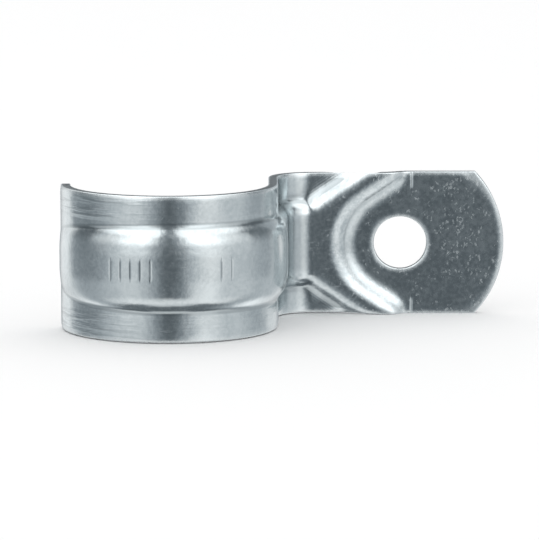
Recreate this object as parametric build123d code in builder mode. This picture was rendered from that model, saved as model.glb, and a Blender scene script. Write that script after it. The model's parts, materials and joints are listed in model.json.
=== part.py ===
"""Conduit strap pressed from one piece of zinc-plated steel strip.

The strap holds a one inch thin-wall steel conduit against a wall. The strip goes half way
round the conduit, runs straight down to the wall beside it, bends outward and lies flat on
the wall as an ear with one screw hole. A flat-topped rib is pressed outward along the
middle of the strip. Past the crown it is struck from a centre of its own, so it fades out
towards the free end. Down the leg its top widens. On the ear it spreads into two arms that
pass either side of the screw and run out at the strip's edges.

The sheet keeps its thickness through the press work, so each face of the strap is formed by
the same functions, the front at depth 0 and the back one sheet deeper.

Frame: the conduit's axis is Z, at mid width of the strap. The ear points along +X, and the
wall is the plane y = conduit radius, behind the strap as seen from -Y. Millimetres.
"""

import os
from collections import namedtuple
from math import atan, cos, degrees, radians, sin, sqrt, tan

from build123d import *

# Conduit and strip
conduit_diameter = 29.54
seat_clearance = 0.08
sheet = 1.5
strap_width = 22.0
arch_width = 21.6

# Rib section: flat crown, and a shoulder each side made of arc, straight flank and arc
rib_height = 1.5
flank_length = 0.8
crown_radius_share = 0.75
arch_crown_half_width = 3.5
arch_shoulder_width = 3.2
bend_crown_half_width = 4.6
bend_shoulder_width = 2.5

# How far the rib has sunk into the strip at the free end of the arch
rib_fade = 1.3

# Bend from the arch's leg to the ear, inside radius at the strip's front
bend_radius = 4.8

# Ear, with the screw hole a little past the centre of the fork between the arms
hole_past_fork = 2.43
hole_diameter = 8.1
ear_end_radius = 15.9

# Arms of the rib on the ear, with a narrow crown and a long shoulder towards the screw
arm_angle = 34.0
arm_crown_width = 0.8
flare_radius = 1.0
fork_shoulder_width = 4.8
fork_flank_length = 0.3
fork_crown_radius_share = 0.5
fork_radius = 4.05
arm_end_past_hole = 1.6

# Edges drawn in by the punch
hole_edge_radius = 0.4
ear_edge_radius = 0.5

# Stock behind and beyond the strap while its faces are formed
spare = 3.0
free_quarter = 100.0

# Slope of a shoulder against the strip, its flank and its two radii on the front face
Shoulder = namedtuple("Shoulder", "turn flank crown_radius foot_radius")


def shoulder(width, flank, crown_share):
    """Shoulder of the given width that climbs the rib's height."""
    turn = 2 * atan(rib_height / (width + flank))
    radii_together = (width - flank * cos(turn)) / sin(turn)
    crown_radius = radii_together * crown_share
    return Shoulder(degrees(turn), flank, crown_radius, radii_together - crown_radius)


arch_shoulder = shoulder(arch_shoulder_width, flank_length, crown_radius_share)
bend_shoulder = shoulder(bend_shoulder_width, flank_length, crown_radius_share)
fork_shoulder = shoulder(fork_shoulder_width, fork_flank_length, fork_crown_radius_share)

conduit_radius = conduit_diameter / 2
seat_radius = conduit_radius + seat_clearance
wall_y = conduit_radius
stock_half_width = strap_width / 2 + spare
bend_foot_half_width = bend_crown_half_width + bend_shoulder_width
bend_axis_x = seat_radius + sheet + bend_radius
bend_axis_y = wall_y - sheet - bend_radius

# The fork's foot line is an arc that touches both arms' inner foot lines
flare_x = bend_axis_x + flare_radius * tan(radians(arm_angle / 2))
arm_width = bend_shoulder_width + arm_crown_width + fork_shoulder_width
fork_to_outer_line = fork_radius + arm_width - bend_foot_half_width * cos(radians(arm_angle))
fork_x = flare_x + fork_to_outer_line / sin(radians(arm_angle))
hole_distance = fork_x + hole_past_fork
arm_end_x = hole_distance + arm_end_past_hole
ear_end_x = hole_distance + ear_end_radius

conduit_axis = Axis((0, 0, 0), (0, 0, -1))
rib_fade_axis = Axis((0, -rib_fade, 0), (0, 0, -1))
bend_axis = Axis((bend_axis_x, bend_axis_y, 0), (0, 0, -1))


def section_plane(x, y, angle=0):
    """Plane across the strip at a point of the seat face, turned from +X over -Y by angle."""
    across, along = cos(radians(angle)), -sin(radians(angle))
    return Plane((x, y, 0), x_dir=(across, along, 0), z_dir=(along, -across, 0))


def ear_plane(y):
    """Plane flat on the ear, facing away from the wall, with local X along the ear."""
    return Plane((0, y, 0), x_dir=(1, 0, 0), z_dir=(0, -1, 0))


def ribbed_section(depth, crown_half_width, side):
    """Strip section behind one face, local X away from the seat and local Y across it."""
    with BuildSketch() as section:
        with BuildLine():
            level = sheet - depth
            crown = Line((level + rib_height, 0), (level + rib_height, -crown_half_width))
            turned = JernArc(crown @ 1, crown % 1, side.crown_radius - depth, -side.turn)
            flank = PolarLine(turned @ 1, side.flank, direction=turned % 1)
            foot = JernArc(flank @ 1, flank % 1, side.foot_radius + depth, side.turn)
            band = Line(foot @ 1, (level, -stock_half_width))
            edge = Line(band @ 1, (-spare, -stock_half_width))
            mirror(about=Plane.XZ)
            Line(edge @ 1, (-spare, stock_half_width))
        make_face()
    return section.sketch


def shoulder_plane(x, z, floor_y, angle):
    """Plane across a foot line of the rib, with local X away from it and local Y off the ear."""
    away_x, away_z = cos(radians(angle)), sin(radians(angle))
    return Plane((x, floor_y, z), x_dir=(away_x, 0, away_z), z_dir=(away_z, 0, -away_x))


def beside_rib(depth, side, reach):
    """Section of the space beside the rib, from its foot line outward by reach."""
    with BuildSketch() as space:
        with BuildLine():
            floor = Line((reach, 0), (0, 0))
            foot = JernArc(floor @ 1, floor % 1, side.foot_radius + depth, -side.turn)
            flank = PolarLine(foot @ 1, side.flank, direction=foot % 1)
            crown = JernArc(flank @ 1, flank % 1, side.crown_radius - depth, side.turn)
            above = rib_height + spare
            Polyline(crown @ 1, ((crown @ 1).X, above), (reach, above), floor @ 0)
        make_face()
    return space.sketch


def formed_strip(depth):
    """Everything behind one face of the arch, leg and bend."""
    arch_section = ribbed_section(depth, arch_crown_half_width, arch_shoulder)
    bend_section = ribbed_section(depth, bend_crown_half_width, bend_shoulder)
    with BuildPart() as strip:
        # Quarter of the arch on the leg's side
        with BuildSketch(section_plane(seat_radius, 0)):
            add(arch_section)
        revolve(axis=conduit_axis, revolution_arc=90)

        # Quarter at the free end, where the rib turns round its own centre
        with BuildSketch(section_plane(0, -seat_radius, 90)):
            with Locations((sheet - depth, 0)):
                Rectangle(sheet - depth + spare, 2 * stock_half_width, align=(Align.MAX, Align.CENTER))
        revolve(axis=conduit_axis, revolution_arc=free_quarter)
        with BuildSketch(section_plane(0, -seat_radius, 90)):
            add(arch_section)
        revolve(axis=rib_fade_axis, revolution_arc=free_quarter)

        # Leg, where the rib's top widens, and bend
        with BuildSketch(section_plane(seat_radius, 0)):
            add(arch_section)
        with BuildSketch(section_plane(seat_radius, bend_axis_y)):
            add(bend_section)
        loft(ruled=True)
        with BuildSketch(section_plane(seat_radius, bend_axis_y)):
            add(bend_section)
        revolve(axis=bend_axis, revolution_arc=90)
    return strip.part


def beside_arms(depth, floor_y):
    """The space round the rib's arms, which leaves the ear flat at floor_y."""
    arm_turn = radians(arm_angle)
    flare_centre = Vector(bend_axis_x, floor_y, bend_foot_half_width + flare_radius)
    flare_end = flare_centre + Vector(sin(arm_turn), 0, -cos(arm_turn)) * flare_radius
    fork_centre = Vector(fork_x, floor_y, 0)
    fork_end = fork_centre + Vector(-sin(arm_turn), 0, cos(arm_turn)) * fork_radius
    with BuildPart() as space:
        # Round the flare and outside the upper arm
        with BuildSketch(shoulder_plane(bend_axis_x, bend_foot_half_width, floor_y, 90)):
            add(beside_rib(depth, bend_shoulder, flare_radius))
        revolve(axis=Axis(flare_centre, (0, -1, 0)), revolution_arc=arm_angle)
        with BuildSketch(shoulder_plane(flare_end.X, flare_end.Z, floor_y, arm_angle + 90)):
            add(beside_rib(depth, bend_shoulder, 2 * stock_half_width))
        extrude(amount=2 * stock_half_width)

        # Between the arms, along the upper one
        with BuildSketch(shoulder_plane(fork_end.X, fork_end.Z, floor_y, arm_angle - 90)):
            add(beside_rib(depth, fork_shoulder, 1.5 * fork_radius))
        extrude(amount=-2 * stock_half_width)
        mirror(about=Plane.XY)

        # Round the fork, and past the arms' ends
        with BuildSketch(shoulder_plane(fork_end.X, fork_end.Z, floor_y, arm_angle - 90)):
            add(beside_rib(depth, fork_shoulder, fork_radius))
        revolve(axis=Axis(fork_centre, (0, -1, 0)), revolution_arc=180 - 2 * arm_angle)
        with BuildSketch(shoulder_plane(arm_end_x, 0, floor_y, 0)):
            add(beside_rib(depth, fork_shoulder, ear_end_x + 2 * spare - arm_end_x))
        extrude(amount=stock_half_width, both=True)

        # Rest of the fork, clear of both arms
        with BuildSketch(ear_plane(floor_y)):
            with BuildLine():
                mouth = fork_radius / 2 + (arm_end_x - fork_x) * tan(arm_turn)
                Polyline((fork_x, 0), (fork_x, fork_radius / 2), (arm_end_x, mouth), (arm_end_x, 0))
                mirror(about=Plane.XZ)
            make_face()
        extrude(amount=rib_height + spare)
    return space.part


def formed_ear(depth):
    """Everything behind one face of the ear, with the rib's arms raised from it."""
    floor_y = wall_y - sheet + depth
    space = beside_arms(depth, floor_y)
    with BuildPart() as ear:
        with BuildSketch(ear_plane(floor_y - rib_height)):
            with Locations((bend_axis_x, 0)):
                ear_length = ear_end_x + spare - bend_axis_x
                Rectangle(ear_length, 2 * stock_half_width, align=(Align.MIN, Align.CENTER))
        extrude(amount=floor_y - rib_height - wall_y - spare)
        add(space, mode=Mode.SUBTRACT)
    return ear.part


front_strip = formed_strip(0)
front_ear = formed_ear(0)
back_strip = formed_strip(sheet)
back_ear = formed_ear(sheet)

with BuildPart() as strap:
    add(front_strip)
    add(front_ear)
    add(back_strip, mode=Mode.SUBTRACT)
    add(back_ear, mode=Mode.SUBTRACT)

    # Plan of the blank as seen from the front, with the ear's end struck from the hole
    with BuildSketch(ear_plane(wall_y + spare)):
        with BuildLine():
            half_width = strap_width / 2
            side_end_x = hole_distance + sqrt(ear_end_radius**2 - half_width**2)
            side = Polyline(
                (-seat_radius - sheet - spare, arch_width / 2),
                (bend_axis_x, arch_width / 2),
                (arm_end_x, half_width),
                (side_end_x, half_width),
            )
            mirror(about=Plane.XZ)
            ThreePointArc(side @ 1, (ear_end_x, 0), (side_end_x, -half_width))
            Line(side @ 0, (-seat_radius - sheet - spare, -arch_width / 2))
        make_face()
    extrude(amount=2 * wall_y + 3 * spare, mode=Mode.INTERSECT)

    # Free end of the arch, square to the wall at the conduit's widest point
    with BuildSketch():
        Rectangle(seat_radius + sheet + spare, wall_y, align=(Align.MAX, Align.MIN))
    extrude(amount=strap_width, both=True, mode=Mode.SUBTRACT)

    # Front edge of the ear's end, drawn in by the shear
    front_edges = strap.edges().filter_by_position(Axis.Y, wall_y - sheet, wall_y - sheet)
    fillet(front_edges.sort_by(Axis.X)[-1], ear_edge_radius)

    # Screw hole, drawn in by the punch at its front rim
    with BuildSketch(ear_plane(wall_y)):
        with Locations((hole_distance, 0)):
            Circle(hole_diameter / 2)
    extrude(amount=sheet, mode=Mode.SUBTRACT)
    fillet(strap.edges(Select.LAST).group_by(Axis.Y)[0], hole_edge_radius)

strap.part.label = "strap"
os.makedirs("parts", exist_ok=True)
export_step(strap.part, "parts/strap.step")
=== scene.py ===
"""Pressed, zinc-plated conduit strap on a plain pale floor, laid out as an add-on."""

import json
import math

import bpy
import numpy as np
from bpy.props import FloatProperty, FloatVectorProperty, PointerProperty
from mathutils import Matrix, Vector


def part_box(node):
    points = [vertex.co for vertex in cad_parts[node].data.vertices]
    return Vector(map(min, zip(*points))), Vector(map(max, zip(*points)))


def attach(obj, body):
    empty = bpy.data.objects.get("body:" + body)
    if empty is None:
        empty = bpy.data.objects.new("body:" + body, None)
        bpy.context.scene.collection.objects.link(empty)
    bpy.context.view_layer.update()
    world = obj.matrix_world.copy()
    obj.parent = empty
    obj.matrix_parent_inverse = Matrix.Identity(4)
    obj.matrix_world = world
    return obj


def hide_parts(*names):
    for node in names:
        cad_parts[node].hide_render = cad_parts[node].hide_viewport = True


bl_info = {
    "name": "Conduit strap",
    "version": (1, 0, 0),
    "blender": (4, 5, 0),
    "location": "3D View > Sidebar > Strap",
    "description": "Makes a pressed, zinc-plated conduit strap and the studio round it",
    "category": "Object",
}

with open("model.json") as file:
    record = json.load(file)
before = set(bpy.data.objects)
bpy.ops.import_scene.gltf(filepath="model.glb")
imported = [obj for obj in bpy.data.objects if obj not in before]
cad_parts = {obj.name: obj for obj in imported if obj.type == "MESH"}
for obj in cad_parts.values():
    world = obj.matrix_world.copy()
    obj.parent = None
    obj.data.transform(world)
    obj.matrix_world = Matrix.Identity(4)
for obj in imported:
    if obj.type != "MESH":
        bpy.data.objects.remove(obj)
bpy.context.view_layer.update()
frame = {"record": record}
strap_low, strap_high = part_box("strap")
mounts = {mount["name"]: mount for mount in frame["record"]["mounts"]}
seat_radius = mounts["conduit_seat"]["dims"]["r_mm"] / 1000
arch_width = mounts["conduit_seat"]["dims"]["length_mm"] / 1000
hole_x = mounts["screw_hole"]["pos_m"][0]
hole_radius = mounts["screw_hole"]["dims"]["r_mm"] / 1000
wall_y = mounts["wall_face"]["pos_m"][1]
ear_end_x = strap_high[0]
ear_half_width = strap_high[2]

# The image's width in pixels, and the width of the camera's sensor in millimetres
image_width = 539
sensor_width = 36.0

# Keeps a division from going by zero
tiny = 1e-9


def length(name, description, millimetres):
    """A length for the sidebar, given in millimetres."""
    return FloatProperty(
        name=name,
        description=description,
        default=millimetres / 1000,
        unit="LENGTH",
        precision=5,
    )


class StrapSizes(bpy.types.PropertyGroup):
    """Sizes of the strap's strip and its rib."""

    sheet: length("Sheet", "Thickness of the strip", 1.5)
    grain: length("Grain", "Spacing of the mesh over the strip", 0.27)
    rib_height: length("Rib height", "Height of the rib off the strip", 1.5)
    rib_fade: length("Rib fade", "How far the rib has sunk at the arch's free end", 1.3)
    crown_sag: length("Crown sag", "How far the rib's top has sunk by its edges", 0.2)
    arch_crown: length("Arch crown", "Half width of the rib's flat top on the arch", 3.5)
    arch_shoulder: length("Arch shoulder", "Width of the rib's slopes on the arch", 3.2)
    bend_crown: length("Bend crown", "Half width of the rib's flat top in the bend", 4.3)
    bend_shoulder: length("Bend shoulder", "Width of the rib's slopes in the bend", 2.8)
    bend_radius: length("Bend radius", "Radius of the bend at the strip's front", 5.15)
    fork_centre: length("Fork centre", "How far before the screw the fork's arc is centred", 0.7)
    arm_crest: length("Arm crest", "From the fork's centre to the arms' inner crests", 10.5)
    inner_slope: length("Inner slope", "Width of the arms' slopes towards the screw", 4.65)
    outer_middle: length("Outer middle", "From the fork's centre to mid outer slope", 12.42)
    outer_slope: length("Outer slope", "Width of the arms' slopes away from the screw", 5.3)
    outer_steep: length("Outer steep part", "Width of those slopes' steeper part", 3.0)
    end_slope: length("End slope", "Width of the slopes at the arms' ends", 3.0)
    arm_end: length("Arm end", "From the screw's middle to the arms' ends", 1.6)
    edge_radius: length("Edge radius", "Roundness of the sheared edges", 0.34)
    edge_drop: length("Edge drop", "How far the shear has drawn the edges down", 0.1)
    die_line: length("Die line", "From the fork's centre to the line that the die left", 7.95)
    mark_depth: length("Mark depth", "Depth of the stamped bars and notches", 0.055)
    arm_angle: FloatProperty(
        name="Arm angle",
        description="Slant of the rib's arms against the ear",
        default=math.radians(34.0),
        subtype="ANGLE",
    )


class StrapZinc(bpy.types.PropertyGroup):
    """Colours and finish of the zinc plate, and the colours of its painted highlight and painted
    shade.
    """

    zinc: FloatVectorProperty(
        name="Zinc",
        description="Colour of clean zinc plate",
        default=(0.61, 0.66, 0.675),
        subtype="COLOR",
    )
    dull_zinc: FloatVectorProperty(
        name="Dull zinc",
        description="Colour of zinc where it has dulled",
        default=(0.47, 0.52, 0.54),
        subtype="COLOR",
    )
    # Also the colour of the painted highlight on sharp crests and along the rims
    speck_and_highlight_zinc: FloatVectorProperty(
        name="Pale zinc",
        description="Colour of pale specks and rubbed edges",
        default=(0.75, 0.79, 0.80),
        subtype="COLOR",
    )
    # Also the colour of the painted shade in the pressing's hollows and creases, as well as of the
    # draw marks
    scored_and_shade_zinc: FloatVectorProperty(
        name="Zinc in hollows",
        description="Colour of zinc in the hollows of the pressing",
        default=(0.37, 0.41, 0.425),
        subtype="COLOR",
    )
    cut_steel: FloatVectorProperty(
        name="Cut edge",
        description="Colour of the sheared edge",
        default=(0.14, 0.15, 0.155),
        subtype="COLOR",
    )


class StrapStudio(bpy.types.PropertyGroup):
    """Camera, floor and light."""

    distance: length("Distance", "Distance from the camera to the ear", 600)
    elevation: FloatProperty(
        name="Elevation",
        description="Height of the camera above the level, as an angle",
        default=math.radians(8.2),
        subtype="ANGLE",
    )
    pixels_per_metre: FloatProperty(
        name="Scale",
        description="Pixels of the image to a metre of the ear",
        default=6485.0,
    )
    aim: FloatVectorProperty(
        name="Aim",
        description="Point at the centre of the image",
        default=(0.01501, 0.01327, -0.00424),
        subtype="XYZ",
        unit="LENGTH",
    )
    floor_size: length("Floor size", "Length of the floor's sides", 4000)
    tent_radius: length("Tent radius", "Radius of the light tent", 1400)
    floor_colour: FloatVectorProperty(
        name="Floor",
        description="Colour of the floor",
        default=(0.97, 0.97, 0.97),
        subtype="COLOR",
    )


def material(name):
    """A new material with only a Principled shader, and its node tree."""
    made = bpy.data.materials.new(name)
    made.use_nodes = True
    return made, made.node_tree, made.node_tree.nodes["Principled BSDF"]


def joined(tree, socket, value):
    """Gives an input a number or a colour, or a link from an output."""
    if isinstance(value, (int, float, tuple)):
        socket.default_value = value
    else:
        tree.links.new(value, socket)


def maths(tree, operation, *values):
    """A Math node whose inputs are sockets or numbers."""
    node = tree.nodes.new("ShaderNodeMath")
    node.operation = operation
    for socket, value in zip(node.inputs, values):
        joined(tree, socket, value)
    return node.outputs[0]


def chained(tree, operation, values):
    """Several values taken together by an operation, two at a time."""
    result = values[0]
    for value in values[1:]:
        result = maths(tree, operation, result, value)
    return result


def product(tree, *values):
    """The product of several values."""
    return chained(tree, "MULTIPLY", values)


def total(tree, *values):
    """The sum of several values."""
    return chained(tree, "ADD", values)


def highest(tree, *values):
    """The highest of several values."""
    return chained(tree, "MAXIMUM", values)


def graded(tree, value, low, high, first=0.0, last=1.0):
    """A value eased from first to last as it goes from low to high."""
    node = tree.nodes.new("ShaderNodeMapRange")
    node.interpolation_type = "SMOOTHSTEP"
    numbers = {"From Min": low, "From Max": high, "To Min": first, "To Max": last}
    for name, number in numbers.items():
        node.inputs[name].default_value = number
    tree.links.new(value, node.inputs["Value"])
    return node.outputs[0]


def mixed(tree, share, first, second):
    """A Mix node of two colours."""
    node = tree.nodes.new("ShaderNodeMix")
    node.data_type = "RGBA"
    for name, value in (("Factor", share), ("A", first), ("B", second)):
        joined(tree, node.inputs[name], value)
    return node.outputs["Result"]


def object_place(tree):
    """Object coordinates, whole and in their three parts."""
    place = tree.nodes.new("ShaderNodeTexCoord").outputs["Object"]
    parts = tree.nodes.new("ShaderNodeSeparateXYZ")
    tree.links.new(place, parts.inputs[0])
    return place, parts.outputs


def stretched(tree, vector, scale, turn=0.0):
    """A vector turned in the ear's plane and scaled."""
    turned = tree.nodes.new("ShaderNodeMapping")
    turned.inputs["Rotation"].default_value = (0, turn, 0)
    tree.links.new(vector, turned.inputs["Vector"])
    node = tree.nodes.new("ShaderNodeMapping")
    node.inputs["Scale"].default_value = scale
    tree.links.new(turned.outputs[0], node.inputs["Vector"])
    return node.outputs[0]


def noise(tree, vector, scale, detail):
    """Smooth noise of a scale in patches to a metre."""
    node = tree.nodes.new("ShaderNodeTexNoise")
    node.inputs["Scale"].default_value = scale
    node.inputs["Detail"].default_value = detail
    tree.links.new(vector, node.inputs["Vector"])
    return node.outputs[0]


def spots(tree, vector, scale):
    """Distance to the nearest of scattered points, in their spacing."""
    node = tree.nodes.new("ShaderNodeTexVoronoi")
    node.inputs["Scale"].default_value = scale
    tree.links.new(vector, node.inputs["Vector"])
    return node.outputs["Distance"]


def attribute(tree, name):
    """A number kept at the mesh's points."""
    node = tree.nodes.new("ShaderNodeAttribute")
    node.attribute_name = name
    return node.outputs["Fac"]


def bumped(tree, shader, height):
    """Puts a height in millimetres into a shader's normal."""
    node = tree.nodes.new("ShaderNodeBump")
    node.inputs["Distance"].default_value = 0.001
    tree.links.new(height, node.inputs["Height"])
    tree.links.new(node.outputs["Normal"], shader.inputs["Normal"])


def pale_specks(tree, place, x, z):
    """Pale specks on the ear, crowded in a patch towards its end."""
    # Each pair is two places in metres, between which the specks come or go
    ear_start = (0.02, 0.026)
    patch_left, patch_right = (0.0395, 0.0425), (0.0478, 0.0458)
    patch_bottom = (-0.006, -0.001)

    grains = noise(tree, stretched(tree, place, (2700, 2700, 1700)), 1.0, 1.5)
    small = graded(tree, grains, 0.56, 0.66)
    large = graded(tree, spots(tree, place, 900), 0.22, 0.12)
    in_patch = product(
        tree,
        graded(tree, x, *patch_left),
        graded(tree, x, *patch_right),
        graded(tree, z, *patch_bottom),
    )
    crowd = total(tree, noise(tree, place, 520, 2.0), product(tree, in_patch, 0.1))
    some, few = graded(tree, crowd, 0.5, 0.59), graded(tree, crowd, 0.6, 0.66)
    specks = highest(tree, product(tree, small, some), product(tree, large, few))
    return product(tree, specks, graded(tree, x, *ear_start, 0.3, 1.0))


def fine_scratches(tree, place):
    """Fine scratches in three directions, each in patches of its own."""
    ways = []
    for turn, patches in ((0.75, 260), (-0.5, 310), (0.1, 220)):
        lines = stretched(tree, place, (200, 200, 5200), turn)
        thin = graded(tree, spots(tree, lines, 1.0), 0.2, 0.1)
        few = graded(tree, noise(tree, place, patches, 1.0), 0.6, 0.66)
        ways.append(product(tree, thin, few))
    return total(tree, *ways)


def die_lines(tree, x, arm):
    """Fine lines that the die left along the foot of the arms' outer slopes."""
    # Metres from one line to the next, and pairs of places between which the lines come or go
    pitch = 0.00037
    from_bend, from_slope, to_flat = (0.019, 0.0205), (0.0130, 0.0136), (0.0158, 0.0148)

    waves = maths(tree, "SINE", product(tree, arm, 2 * math.pi / pitch))
    return product(
        tree,
        waves,
        graded(tree, arm, *from_slope),
        graded(tree, arm, *to_flat),
        graded(tree, x, *from_bend),
    )


def zinc_plate(settings):
    """Zinc plate: mottled, specked and marked where the die drew it, with painted highlight where
    it stands out and painted shade in its hollows.
    """
    # Each pair is two places or distances in metres, between which the finish changes
    band_side = (0.0068, 0.0074)
    arch_side = (0.017, 0.0165)
    free_end = (0.013, 0.026)
    past_bend = (0.0215, 0.025)
    arm_start, arm_side = (0.0215, 0.024), (0.0095, 0.0115)
    rim_band = (0.0008, 0.0003)

    made, tree, shader = material("zinc plate")
    place, (x, _, z) = object_place(tree)
    run, bow, rim, arm = (attribute(tree, name) for name in ("run", "bow", "rim", "arm"))
    strip = tree.nodes.new("ShaderNodeCombineXYZ")
    tree.links.new(run, strip.inputs["X"])
    tree.links.new(z, strip.inputs["Z"])

    # Patches of several sizes
    broad = noise(tree, place, 330, 1.0)
    patch = noise(tree, place, 1700, 3.0)
    fine = noise(tree, place, 4800, 2.0)
    specks = pale_specks(tree, place, x, z)

    # Draw marks along the arch's bands, strongest towards its free end
    on_band = graded(tree, maths(tree, "ABSOLUTE", z), *band_side)
    on_band = product(tree, on_band, graded(tree, x, *arch_side))
    drawn = noise(tree, stretched(tree, strip.outputs[0], (130, 1, 1900)), 1.0, 2.0)
    by_end = graded(tree, run, *free_end, 1.0, 0.2)
    scored = product(tree, graded(tree, drawn, 0.52, 0.64), on_band, by_end)

    # Painted highlight where the surface bows out sharply, painted shade where it bows in, and a
    # band along the rims that is rougher and also carries the painted highlight
    glinting = graded(tree, bow, 0.22, 0.9)
    # Darker where the surface bows in: painted shade in the arms' shallow hollows, and in tight
    # creases everywhere
    hollow_shade = graded(tree, bow, -0.02, -0.085)
    deep_shade = graded(tree, bow, -0.05, -0.22)
    on_arm = product(tree, graded(tree, x, *arm_start), graded(tree, arm, *arm_side))
    edge = graded(tree, rim, *rim_band)

    # Duller in patches, paler on specks and darker on draw marks; paler on crests and rims as
    # painted highlight, and darker in hollows as painted shade
    tone = total(tree, product(tree, patch, 0.6), product(tree, broad, 0.4))
    tone = graded(tree, tone, 0.62, 0.36)
    tone = product(tree, tone, graded(tree, x, *past_bend, 0.5, 1.0))
    colour = mixed(tree, tone, (*settings.zinc, 1), (*settings.dull_zinc, 1))
    # Painted highlight on the sharp crests and within the rim band
    painted_highlight = product(tree, highest(tree, glinting, edge), 0.5)
    pale = highest(tree, product(tree, specks, 0.4), painted_highlight)
    colour = mixed(tree, pale, colour, (*settings.speck_and_highlight_zinc, 1))
    # Painted shade in hollows and creases and the real draw marks, all darkened towards one colour
    deep_shade, hollow_shade, scored = (
        product(tree, *values) for values in ((deep_shade, 0.75), (hollow_shade, on_arm), (scored, 0.6))
    )
    colour = mixed(tree, highest(tree, deep_shade, hollow_shade, scored), colour, (*settings.scored_and_shade_zinc, 1))
    tree.links.new(colour, shader.inputs["Base Color"])
    tree.links.new(graded(tree, specks, 0.0, 1.0, 1.0, 0.92), shader.inputs["Metallic"])
    rough = graded(tree, patch, 0.3, 0.7, 0.14, 0.19)
    rough = total(tree, rough, product(tree, specks, 0.11), product(tree, edge, 0.12))
    tree.links.new(rough, shader.inputs["Roughness"])

    # Relief in millimetres
    height = total(
        tree,
        product(tree, broad, 0.05),
        product(tree, patch, 0.012),
        product(tree, fine, 0.002),
        product(tree, drawn, on_band, by_end, 0.11),
        product(tree, die_lines(tree, x, arm), 0.0018),
        product(tree, fine_scratches(tree, place), -0.004),
        product(tree, specks, 0.003),
    )
    bumped(tree, shader, height)
    return made


def cut_edge(settings):
    """Sheared edge: darker and rougher, with the streaks of the shear across it."""
    made, tree, shader = material("cut edge")
    place = tree.nodes.new("ShaderNodeTexCoord").outputs["Object"]
    streaks = noise(tree, stretched(tree, place, (1600, 1600, 300)), 1.0, 3.0)
    pale = graded(tree, streaks, 0.35, 0.65, 0.0, 0.45)
    colour = mixed(tree, pale, (*settings.cut_steel, 1), (*settings.dull_zinc, 1))
    tree.links.new(colour, shader.inputs["Base Color"])
    shader.inputs["Metallic"].default_value = 1.0
    tree.links.new(graded(tree, streaks, 0.3, 0.7, 0.28, 0.45), shader.inputs["Roughness"])
    bumped(tree, shader, product(tree, streaks, 0.02))
    return made


def spaced(start, stop, step):
    """Even places from start to stop, about a step apart."""
    return np.linspace(start, stop, round(abs(stop - start) / step) + 1)


def with_marks(lines, marks, steps, room=1.3):
    """Lines of the grid, with finer ones at each mark in place of those too near it."""
    for mark in marks:
        far = lines[np.abs(lines - mark) > steps[-1] * room]
        lines = np.sort(np.concatenate((far, mark + steps, mark - steps[1:])))
    return lines


def groove(distance, half_width, depth):
    """Depth of a stamped line at a distance from its middle."""
    return depth * np.clip(1 - (distance / half_width) ** 2, 0, 1) ** 2


def smooth_step(value, low, high):
    """0 below low, 1 above high, and eased between them."""
    share = np.clip((value - low) / (high - low), 0, 1)
    return share * share * (3 - 2 * share)


def climb(distance, width, height, crown_share=0.5, flank=0.0003):
    """Share of a slope's height at a distance in from its foot: arc, straight flank and arc."""
    # Both arcs turn by the flank's slope, and together with it they reach the height and the width
    turn = 2 * np.arctan(height / (width + flank))
    radii = (width - flank * np.cos(turn)) / np.sin(turn)
    crown_radius = radii * crown_share
    foot_radius = radii - crown_radius
    foot_end = foot_radius * np.sin(turn)
    crown_start = width - crown_radius * np.sin(turn)
    in_foot = np.clip(distance, 0, foot_end)
    foot = foot_radius - np.sqrt(foot_radius**2 - in_foot**2)
    straight = foot_radius * (1 - np.cos(turn)) + (distance - foot_end) * np.tan(turn)
    from_crown = np.clip(width - distance, 0, width - crown_start)
    crown = height - crown_radius + np.sqrt(crown_radius**2 - from_crown**2)
    below_crown = np.where(distance < foot_end, foot, straight)
    return np.where(distance < crown_start, below_crown, crown) / height


def either(first, second, blend=0.8):
    """The higher of two slopes, eased where they cross."""
    higher = np.maximum(first, second)
    ease = blend * higher * (1 - higher) + tiny
    apart = np.clip(1 - np.abs(first - second) / ease, 0, 1)
    return higher + apart * apart * ease / 4


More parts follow.
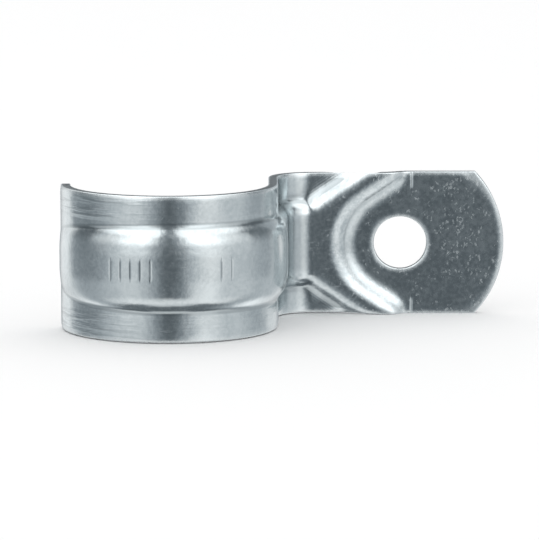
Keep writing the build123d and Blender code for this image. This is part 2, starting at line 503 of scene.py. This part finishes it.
class Strip:
    """The flat strip's grid, and where each of its crossings comes to lie in the pressed strap."""

    # Squares of the grid from the hole's middle to its edge, and to where the grid is square again,
    # and how early its rings turn square between the two
    core = 13
    block = 23
    squaring = 0.7

    # Rows at each side of the middle one, but for the last. The least part of a square between the
    # bend and the ear's first line, and the squares between its last two lines
    side_rows = 39
    first_part = 0.3
    last_squares = 3

    # Stamped bars on the arch, and the notches at the arms' ends, in metres. A pair is two places
    # between which a mark comes or goes
    bars = np.array((-8.4, -6.9, -5.4, -3.9, -2.4, 8.0, 9.5)) / 1000
    bar_end = (0.00125, 0.00155)
    notch_x = 0.03683
    notch_start, notch_end = (0.0083, 0.0088), (0.0107, 0.011)
    mark_half_width = 0.00017
    mark_steps = np.array((0.0, 0.05, 0.1, 0.17)) / 1000

    # Line that the die left beside the fork, and width of the rim that the shear has drawn down
    die_half_width = 0.0003
    die_depth = 0.00008
    drawn_width = 0.0011

    # How much wider that rim is towards both corners of the ear's end, and how much wider and
    # deeper towards the upper one, the powers by which both grow, and how far along the ear it
    # takes the second
    corners_wider, corners_power = 1.6, 4
    upper_wider, upper_deeper, upper_power = 1.6, 1.4, 6
    upper_start = 0.004

    # Share of the rib's top and of its slopes that its sag spreads over, and how gently it sinks
    # into the arch's free end
    sag_share = 0.4
    sunk_ease = 0.00008

    # Share of the wider of the two slopes that make an arm's outer one, and where the arms rise,
    # measured from the bend's end
    wide_share = 0.65
    arms_rise = (-0.006, 0.0005)

    def __init__(self, sizes):
        self.sizes = sizes
        self.band_radius = seat_radius + sizes.sheet
        self.top_radius = self.band_radius + sizes.rib_height
        self.bend_x = self.band_radius + sizes.bend_radius
        self.bend_y = wall_y - sizes.sheet - sizes.bend_radius
        grain = sizes.grain
        self.reach = self.block * grain
        self.past_block = hole_x + self.reach + grain
        self.end_radius = ear_end_x - hole_x
        quarter = math.pi / 2
        self.bar_turns = np.arcsin(self.bars / self.top_radius)
        turns = spaced(-quarter, quarter, grain / self.band_radius)
        turns = with_marks(turns, self.bar_turns, self.mark_steps / self.top_radius)
        drops = spaced(0, self.bend_y, grain)[1:]
        bends = spaced(0, quarter, grain / sizes.bend_radius)[1:]
        ear = self.ear_lines()
        self.columns = len(turns) + len(drops) + len(bends) + len(ear)
        rows = np.arange(-self.side_rows, self.side_rows + 1) * grain
        self.across = np.concatenate(((-ear_half_width,), rows, (ear_half_width,)))

        # Each column's turn on the arch, drop down the leg, turn in the bend and place on the ear
        past_arch = np.full(self.columns - len(turns), quarter)
        past_leg = np.full(len(bends) + len(ear), self.bend_y)
        before_bend = np.zeros(len(turns) + len(drops))
        self.turn = np.concatenate((turns, past_arch))
        self.drop = np.concatenate((np.zeros(len(turns)), drops, past_leg))
        self.bend = np.concatenate((before_bend, bends, np.full(len(ear), quarter)))
        self.ear = np.concatenate((before_bend, np.zeros(len(bends)), ear))

    def ear_lines(self):
        """Places along the ear of the lines that cross it."""
        grain = self.sizes.grain
        first = math.ceil((self.bend_x - hole_x) / grain + self.first_part)
        square = hole_x + np.arange(first, self.block + 2) * grain
        tail = spaced(square[-1], ear_end_x - self.last_squares * grain, grain)[1:]
        lines = np.concatenate((square, tail, (ear_end_x,)))
        return with_marks(lines, (self.notch_x,), self.mark_steps)

    def lay_out(self, column, row):
        """Lays the crossings out by column and row, the ear's round the hole and to its end."""
        self.turn, self.drop, self.bend, x = (
            lines[column] for lines in (self.turn, self.drop, self.bend, self.ear)
        )
        self.on_ear = x > 0
        x, z = self.round_hole(x, self.across[row])
        past_block = self.past_block
        along_tail = np.clip((x - past_block) / (ear_end_x - past_block), 0, 1)
        struck = hole_x + np.sqrt(self.end_radius**2 - z**2)
        self.x = np.where(x > past_block, past_block + along_tail * (struck - past_block), x)

        # The arch is cut a little narrower than the ear
        arm_end_x = hole_x + self.sizes.arm_end
        to_arm_end = np.clip((arm_end_x - self.x) / (arm_end_x - self.bend_x), 0, 1)
        narrow = np.where(self.on_ear, to_arm_end, 1)
        inset = (ear_half_width - arch_width / 2) * narrow
        outside = np.clip((np.abs(z) - self.reach) / (ear_half_width - self.reach), 0, 1)
        self.z = z - np.sign(z) * inset * outside
        self.side = np.abs(self.z)
        self.measure(ear_half_width - inset)

    def round_hole(self, x, z):
        """Turns the ear's squares near the hole into rings about it, and marks those within it."""
        grain = self.sizes.grain
        from_x, from_z = (x - hole_x) / grain, z / grain
        ring = np.maximum(np.abs(from_x), np.abs(from_z))
        square_x, square_z = (value / np.maximum(ring, tiny) for value in (from_x, from_z))
        steep = np.abs(square_z) > np.abs(square_x)
        lean = np.where(steep, square_x, square_z) * math.pi / 4
        round_x = np.where(steep, np.sin(lean), np.sign(square_x) * np.cos(lean))
        round_z = np.where(steep, np.sign(square_z) * np.cos(lean), np.sin(lean))
        outward = np.clip((ring - self.core) / (self.block - self.core), 0, 1) ** self.squaring
        inner, outer = (1 - outward) * hole_radius, outward * self.reach
        in_block = self.on_ear & (ring < self.block)
        self.cut_out = self.on_ear & (np.rint(ring) <= self.core)
        x = np.where(in_block, hole_x + inner * round_x + outer * square_x, x)
        z = np.where(in_block, inner * round_z + outer * square_z, z)
        return x, z

    def measure(self, half_width):
        """Distances of the crossings from the edges, across the arms and along the strip."""
        sizes = self.sizes
        far = 1.0
        from_hole = np.hypot(self.x - hole_x, self.z)
        to_end = np.where(self.x > self.past_block, self.end_radius - from_hole, far)
        upper = np.clip(self.z / ear_half_width, 0, 1) ** self.upper_power
        along = smooth_step(self.x, self.past_block, self.past_block + self.upper_start)
        self.upper = along * upper
        wider = self.corners_wider * (self.side / ear_half_width) ** self.corners_power
        to_end = to_end / (1 + wider + self.upper_wider * self.upper)
        to_hole = np.where(self.on_ear, from_hole - hole_radius, far)
        to_free_end = self.band_radius * (self.turn + math.pi / 2)
        self.rim = np.minimum.reduce((half_width - self.side, to_end, to_hole, to_free_end))

        # Place on the strip as if the bend were unrolled, and distances from the fork's centre
        bend_left = (math.pi / 2 - self.bend) * sizes.bend_radius + (self.bend_y - self.drop)
        self.laid_x = np.where(self.on_ear, self.x, self.bend_x - bend_left)
        slant_x, slant_z = math.cos(sizes.arm_angle), math.sin(sizes.arm_angle)
        from_x = self.laid_x - hole_x + sizes.fork_centre
        self.off_arm = self.side * slant_x - from_x * slant_z
        past_arc = from_x * slant_x + self.side * slant_z > 0
        self.to_fork = np.where(past_arc, self.off_arm, np.hypot(from_x, self.side))
        self.run = to_free_end + self.drop + self.bend * sizes.bend_radius
        self.run = self.run + np.where(self.on_ear, self.x - self.bend_x, 0)

    def rib(self):
        """Height of the rib off the strip."""
        sizes = self.sizes
        rib = sizes.rib_height

        # The top widens down the leg, sags to its sides, and sinks towards the arch's free end
        down = self.drop / self.bend_y
        crown = sizes.arch_crown + (sizes.bend_crown - sizes.arch_crown) * down
        width = sizes.arch_shoulder + (sizes.bend_shoulder - sizes.arch_shoulder) * down
        straight = climb(crown + width - self.side, width, rib, crown_share=0.75, flank=0.0008)
        sag = smooth_step(self.side, self.sag_share * crown, crown + self.sag_share * width)
        straight = straight * (1 - sizes.crown_sag / rib * ((1 - down) * sag))
        fade = sizes.rib_fade
        ease = self.sunk_ease * (1 - np.cos(self.turn)) + tiny
        sunk_radius = self.band_radius - fade + straight * rib
        across = fade * np.sin(self.turn)
        sunk = fade * np.cos(self.turn) + np.sqrt(sunk_radius**2 - across**2)
        sunk = sunk - self.band_radius - ease
        sunk = np.where(sunk > ease, sunk, np.clip(sunk + ease, 0, None) ** 2 / (4 * ease))

        # On the ear it forks into two arms
        wide, steep = (
            climb(sizes.outer_middle + slope / 2 - self.off_arm, slope, rib)
            for slope in (sizes.outer_slope, sizes.outer_steep)
        )
        outer = self.wide_share * wide + (1 - self.wide_share) * steep
        rise_start, rise_end = self.arms_rise
        outer = outer * smooth_step(self.laid_x, self.bend_x + rise_start, self.bend_x + rise_end)
        inner_foot = sizes.arm_crest - sizes.inner_slope
        inner = climb(self.to_fork - inner_foot, sizes.inner_slope, rib)
        ends = climb(hole_x + sizes.arm_end - self.laid_x, sizes.end_slope, rib)
        forked = either(straight, outer) * inner * ends * rib
        return np.where(self.turn < 0, sunk, forked)

    def marks(self):
        """Depth of the stamped bars and notches, the die's line and the drawn-down edges."""
        sizes = self.sizes
        by_edge = np.clip(1 - self.rim / self.drawn_width, 0, 1) ** 2
        depth = sizes.edge_drop * (1 + self.upper_deeper * self.upper) * by_edge
        in_bar = 1 - smooth_step(self.side, *self.bar_end)
        for turn in self.bar_turns:
            from_bar = (self.turn - turn) * self.top_radius
            depth = depth + groove(from_bar, self.mark_half_width, sizes.mark_depth) * in_bar
        die = groove(self.to_fork - sizes.die_line, self.die_half_width, self.die_depth)
        notch = groove(self.laid_x - self.notch_x, self.mark_half_width, sizes.mark_depth)
        in_notch = smooth_step(self.side, *self.notch_start)
        in_notch = in_notch * (1 - smooth_step(self.side, *self.notch_end))
        return depth + die * (self.laid_x > self.bend_x) + notch * in_notch

    def placed(self):
        """Every crossing's place, raised off the strip's front by the rib."""
        height = self.rib()
        bent = self.bend > 0
        round_bend = self.bend_x - self.sizes.bend_radius * np.cos(self.bend)
        x = np.where(bent, round_bend, self.band_radius * np.sin(self.turn))
        x = np.where(self.on_ear, self.x, x)
        y = self.drop + self.sizes.bend_radius * np.sin(self.bend)
        y = y - self.band_radius * np.cos(self.turn)
        facing_x = np.where(bent, np.cos(self.bend), np.sin(self.turn))
        facing_y = np.where(bent, -np.sin(self.bend), -np.cos(self.turn))
        self.facing = np.column_stack((facing_x, facing_y, 0 * height))
        return np.column_stack((x, y, self.z)) + self.facing * height[:, None]


def keep_numbers(mesh, name, numbers):
    """Keeps a number at each of the mesh's points."""
    layer = mesh.attributes.new(name, "FLOAT", "POINT")
    layer.data.foreach_set("value", numbers.astype(np.float32))


def bowed(mesh, shortest=0.001, rounds=3):
    """How strongly the surface bows out at each point, one over its radius in millimetres."""
    count = len(mesh.vertices)
    places, normals = np.empty(count * 3), np.empty(count * 3)
    ends = np.empty(len(mesh.edges) * 2, dtype=int)
    mesh.vertices.foreach_get("co", places)
    mesh.vertices.foreach_get("normal", normals)
    mesh.edges.foreach_get("vertices", ends)
    places, normals = places.reshape(-1, 3) * 1000, normals.reshape(-1, 3)
    first, last = ends.reshape(-1, 2).T
    apart = places[last] - places[first]
    turned = ((normals[last] - normals[first]) * apart).sum(1)
    bend = turned / np.maximum((apart * apart).sum(1), shortest**2)
    both = np.concatenate((first, last))
    met = np.bincount(both, minlength=count)
    values = np.bincount(both, np.tile(bend, 2), count) / met

    # Evened out with each point's neighbours
    for _ in range(rounds):
        around = np.bincount(first, values[last], count) + np.bincount(last, values[first], count)
        values = (values + around / met) / 2
    return values


class STRAP_OT_pressed_sheet(bpy.types.Operator):
    """Presses the strap from a flat grid, and gives it its thickness and finish"""

    bl_idname = "strap.pressed_sheet"
    bl_label = "Pressed sheet"

    def execute(self, context):
        sizes = context.scene.strap_sizes
        strip = Strip(sizes)
        columns, rows = strip.columns, len(strip.across)
        bpy.ops.object.select_all(action="DESELECT")
        bpy.ops.mesh.primitive_grid_add(x_subdivisions=columns - 1, y_subdivisions=rows - 1, size=2)
        strap = context.object
        strap.name = "pressed_strap"
        mesh = strap.data

        # The flat grid runs from -1 to 1 both ways, which gives each point's column and row
        flat = np.empty(len(mesh.vertices) * 3)
        mesh.vertices.foreach_get("co", flat)
        flat = (flat.reshape(-1, 3) + 1) / 2
        column = np.rint(flat[:, 0] * (columns - 1)).astype(int)
        row = np.rint(flat[:, 1] * (rows - 1)).astype(int)
        strip.lay_out(column, row)
        mesh.vertices.foreach_set("co", strip.placed().ravel())
        keep_numbers(mesh, "run", strip.run)
        keep_numbers(mesh, "rim", strip.rim)
        keep_numbers(mesh, "arm", strip.off_arm)
        sunk = mesh.attributes.new("sunk", "FLOAT_VECTOR", "POINT")
        sunk.data.foreach_set("vector", (strip.facing * -strip.marks()[:, None]).ravel())

        # Hole, by the faces inside it
        bpy.ops.object.mode_set(mode="EDIT")
        bpy.ops.mesh.select_mode(type="FACE")
        bpy.ops.mesh.select_all(action="DESELECT")
        bpy.ops.object.mode_set(mode="OBJECT")
        for face in mesh.polygons:
            face.select = all(strip.cut_out[corner] for corner in face.vertices)
        bpy.ops.object.mode_set(mode="EDIT")
        bpy.ops.mesh.delete(type="FACE")
        bpy.ops.object.mode_set(mode="OBJECT")

        # Thickness, and edges rounded by the shear
        in_front = len(mesh.vertices)
        mesh.materials.append(zinc_plate(context.scene.strap_zinc))
        mesh.materials.append(cut_edge(context.scene.strap_zinc))
        thick = strap.modifiers.new("thick", "SOLIDIFY")
        thick.thickness = sizes.sheet
        thick.offset = -1
        thick.use_even_offset = True
        thick.use_quality_normals = True
        thick.material_offset_rim = 1
        bpy.ops.object.modifier_apply(modifier=thick.name)

        # The die holds the strip to its width and its back flat against the wall, and marks only
        # the front
        sunk = mesh.attributes["sunk"].data
        for point in mesh.vertices:
            point.co.y = min(point.co.y, wall_y)
            point.co.z = max(-ear_half_width, min(point.co.z, ear_half_width))
            if point.index < in_front:
                point.co += sunk[point.index].vector
        rounded = strap.modifiers.new("rounded", "BEVEL")
        rounded.width = sizes.edge_radius
        rounded.segments = 4
        rounded.limit_method = "ANGLE"
        rounded.angle_limit = math.radians(60)
        rounded.material = 0
        bpy.ops.object.modifier_apply(modifier=rounded.name)
        bpy.ops.object.shade_smooth()
        keep_numbers(mesh, "bow", bowed(mesh))
        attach(strap, "root")
        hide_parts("strap")
        return {"FINISHED"}


def ramp(tree, angle, *stops):
    """A ramp of greys, from pairs of degrees and grey. The darker the grey, the bluer."""
    less_red, more_blue = 0.13, 0.1
    node = tree.nodes.new("ShaderNodeValToRGB")
    elements = node.color_ramp.elements
    while len(elements) < len(stops):
        elements.new(0.5)
    while len(elements) > len(stops):
        elements.remove(elements[-1])
    for element, (degrees, grey) in zip(elements, stops):
        shade = max(0, 1 - grey)
        element.position = (degrees + 180) / 360
        element.color = (grey * (1 - less_red * shade), grey, grey * (1 + more_blue * shade), 1)
    tree.links.new(angle, node.inputs[0])
    return node.outputs[0]


def tent_paper():
    """Paper of the light tent: dark behind the camera, bright either side of it and above."""
    made, tree, shader = material("tent paper")
    tree.nodes.remove(shader)
    _, (x, y, z) = object_place(tree)

    # Bearing from the camera's side, and height, both with -180 to 180 degrees as 0 to 1
    turned = maths(tree, "ARCTAN2", x, product(tree, y, -1.0))
    across = maths(tree, "SQRT", total(tree, product(tree, x, x), product(tree, y, y)))
    raised = maths(tree, "ARCTAN2", z, across)
    bearing, height = (
        product(tree, total(tree, angle, math.pi), 0.5 / math.pi) for angle in (turned, raised)
    )

    # Rings of paper from straight down to straight up
    bottom = ramp(tree, bearing, (0, 0.18))
    steep = ramp(
        tree, bearing,
        (-135, 1.0), (-118, 0.55), (-97, 0.25), (-75, 0.2), (-45, 0.3), (-25, 0.9),
        (25, 0.9), (45, 0.3), (75, 0.2), (97, 0.3), (116, 0.6), (135, 1.1),
    )
    low = ramp(
        tree, bearing,
        (-180, 0.9), (-145, 1.1), (-128, 1.25), (-110, 0.6), (-92, 0.52), (-75, 0.9),
        (-50, 1.15), (-20, 1.05), (20, 1.05), (50, 1.2), (75, 1.0), (92, 0.55),
        (110, 0.65), (126, 1.4), (145, 1.2), (180, 0.9),
    )
    sill = ramp(
        tree, bearing,
        (-180, 0.3), (-150, 0.95), (-125, 0.9), (-112, 0.6), (-99, 0.5), (-79, 0.56),
        (-61, 0.74), (-45, 0.86), (-29, 0.82), (-14, 0.45), (-7, 0.24), (0, 0.17),
        (7, 0.22), (15, 0.4), (29, 1.1), (45, 1.17), (61, 0.78), (79, 0.82),
        (99, 0.67), (125, 0.7), (150, 0.95), (180, 0.3),
    )
    level = ramp(
        tree, bearing,
        (-180, 0.2), (-166, 0.45), (-150, 1.1), (-132, 1.2), (-118, 0.42), (-100, 0.31),
        (-88, 0.3), (-78, 0.37), (-70, 0.47), (-61, 0.63), (-54, 0.76), (-40, 0.9),
        (-28, 0.82), (-14, 0.45), (-7, 0.22), (0, 0.16), (7, 0.18), (14, 0.3),
        (24, 0.62), (36, 1.0), (48, 1.02), (62, 0.78), (80, 0.76), (96, 0.55),
        (112, 0.5), (132, 1.0), (150, 0.95), (166, 0.45), (180, 0.2),
    )
    upper = ramp(
        tree, bearing,
        (-180, 0.3), (-150, 1.0), (-132, 1.0), (-118, 0.2), (-98, 0.18), (-85, 0.7),
        (-73, 1.0), (-60, 1.2), (-44, 1.9), (-24, 2.1), (-15, 1.15), (-10, 0.7),
        (-5, 0.27), (0, 0.2), (5, 0.24), (10, 0.5), (15, 0.9), (24, 2.1),
        (44, 2.1), (60, 1.3), (73, 1.1), (85, 0.85), (98, 0.22), (118, 0.22),
        (132, 0.5), (150, 0.6), (180, 0.3),
    )
    top = ramp(tree, bearing, (-16, 1.9), (-8, 0.4), (0, 0.2), (8, 0.4), (16, 1.7))
    zenith = ramp(tree, bearing, (0, 1.2))

    # Each takes over from the one below it between two heights in degrees
    colour = bottom
    for paper, start, end in (
        (steep, -76, -67),
        (low, -61, -53),
        (sill, -44, -28),
        (level, -14, -8),
        (upper, -3, 20),
        (top, 38, 51),
        (zenith, 76, 82),
    ):
        colour = mixed(tree, ramp(tree, height, (start, 0.0), (end, 1.0)), colour, paper)
    glow = tree.nodes.new("ShaderNodeEmission")
    tree.links.new(colour, glow.inputs["Color"])
    tree.links.new(glow.outputs[0], tree.nodes["Material Output"].inputs["Surface"])
    return made


class STRAP_OT_studio(bpy.types.Operator):
    """Makes the floor, the light tent, the world and the camera"""

    bl_idname = "strap.studio"
    bl_label = "Studio"

    def execute(self, context):
        studio = context.scene.strap_studio
        bpy.ops.object.select_all(action="DESELECT")
        bpy.ops.mesh.primitive_plane_add(size=studio.floor_size, location=(0, 0, strap_low[2]))
        floor = context.object
        floor.name = "floor"
        paint, tree, shader = material("floor")
        shader.inputs["Base Color"].default_value = (*studio.floor_colour, 1)
        shader.inputs["Roughness"].default_value = 0.9
        floor.data.materials.append(paint)
        floor.visible_glossy = False

        bpy.ops.mesh.primitive_uv_sphere_add(
            segments=96, ring_count=48, radius=studio.tent_radius
        )
        tent = context.object
        tent.name = "tent"
        bpy.ops.object.mode_set(mode="EDIT")
        bpy.ops.mesh.flip_normals()
        bpy.ops.object.mode_set(mode="OBJECT")
        tent.data.materials.append(tent_paper())
        tent.visible_camera = False
        tent.visible_diffuse = False
        tent.visible_shadow = False

        world = bpy.data.worlds.new("studio")
        context.scene.world = world
        world.use_nodes = True
        background = world.node_tree.nodes["Background"]
        background.inputs["Color"].default_value = (1, 1, 1, 1)
        background.inputs["Strength"].default_value = 1.0

        toward_camera = Vector((0, -math.cos(studio.elevation), math.sin(studio.elevation)))
        bpy.ops.object.camera_add()
        camera = context.object
        camera.location = Vector(studio.aim) + toward_camera * studio.distance
        camera.rotation_euler = toward_camera.to_track_quat("Z", "Y").to_euler()
        camera.data.sensor_width = sensor_width
        camera.data.lens = studio.pixels_per_metre * studio.distance * sensor_width / image_width
        camera.data.clip_end = 20.0
        context.scene.camera = camera
        context.scene.view_settings.view_transform = "Standard"
        return {"FINISHED"}


class STRAP_PT_sidebar(bpy.types.Panel):
    """Lists the strap's pieces and settings"""

    bl_label = "Conduit strap"
    bl_idname = "STRAP_PT_sidebar"
    bl_space_type = "VIEW_3D"
    bl_region_type = "UI"
    bl_category = "Strap"

    def draw(self, context):
        scene = context.scene
        for group in (scene.strap_sizes, scene.strap_zinc, scene.strap_studio):
            box = self.layout.box()
            for name in group.__annotations__:
                box.prop(group, name)
        self.layout.operator("strap.pressed_sheet")
        self.layout.operator("strap.studio")


classes = (
    StrapSizes,
    StrapZinc,
    StrapStudio,
    STRAP_OT_pressed_sheet,
    STRAP_OT_studio,
    STRAP_PT_sidebar,
)


def register():
    """Adds the classes and their settings to the scene."""
    for kind in classes:
        bpy.utils.register_class(kind)
    bpy.types.Scene.strap_sizes = PointerProperty(type=StrapSizes)
    bpy.types.Scene.strap_zinc = PointerProperty(type=StrapZinc)
    bpy.types.Scene.strap_studio = PointerProperty(type=StrapStudio)


def unregister():
    """Takes them away again."""
    del bpy.types.Scene.strap_sizes
    del bpy.types.Scene.strap_zinc
    del bpy.types.Scene.strap_studio
    for kind in reversed(classes):
        bpy.utils.unregister_class(kind)


def main():
    """Makes the strap and its studio."""
    register()
    bpy.ops.strap.pressed_sheet()
    bpy.ops.strap.studio()


if __name__ == "__main__":
    main()
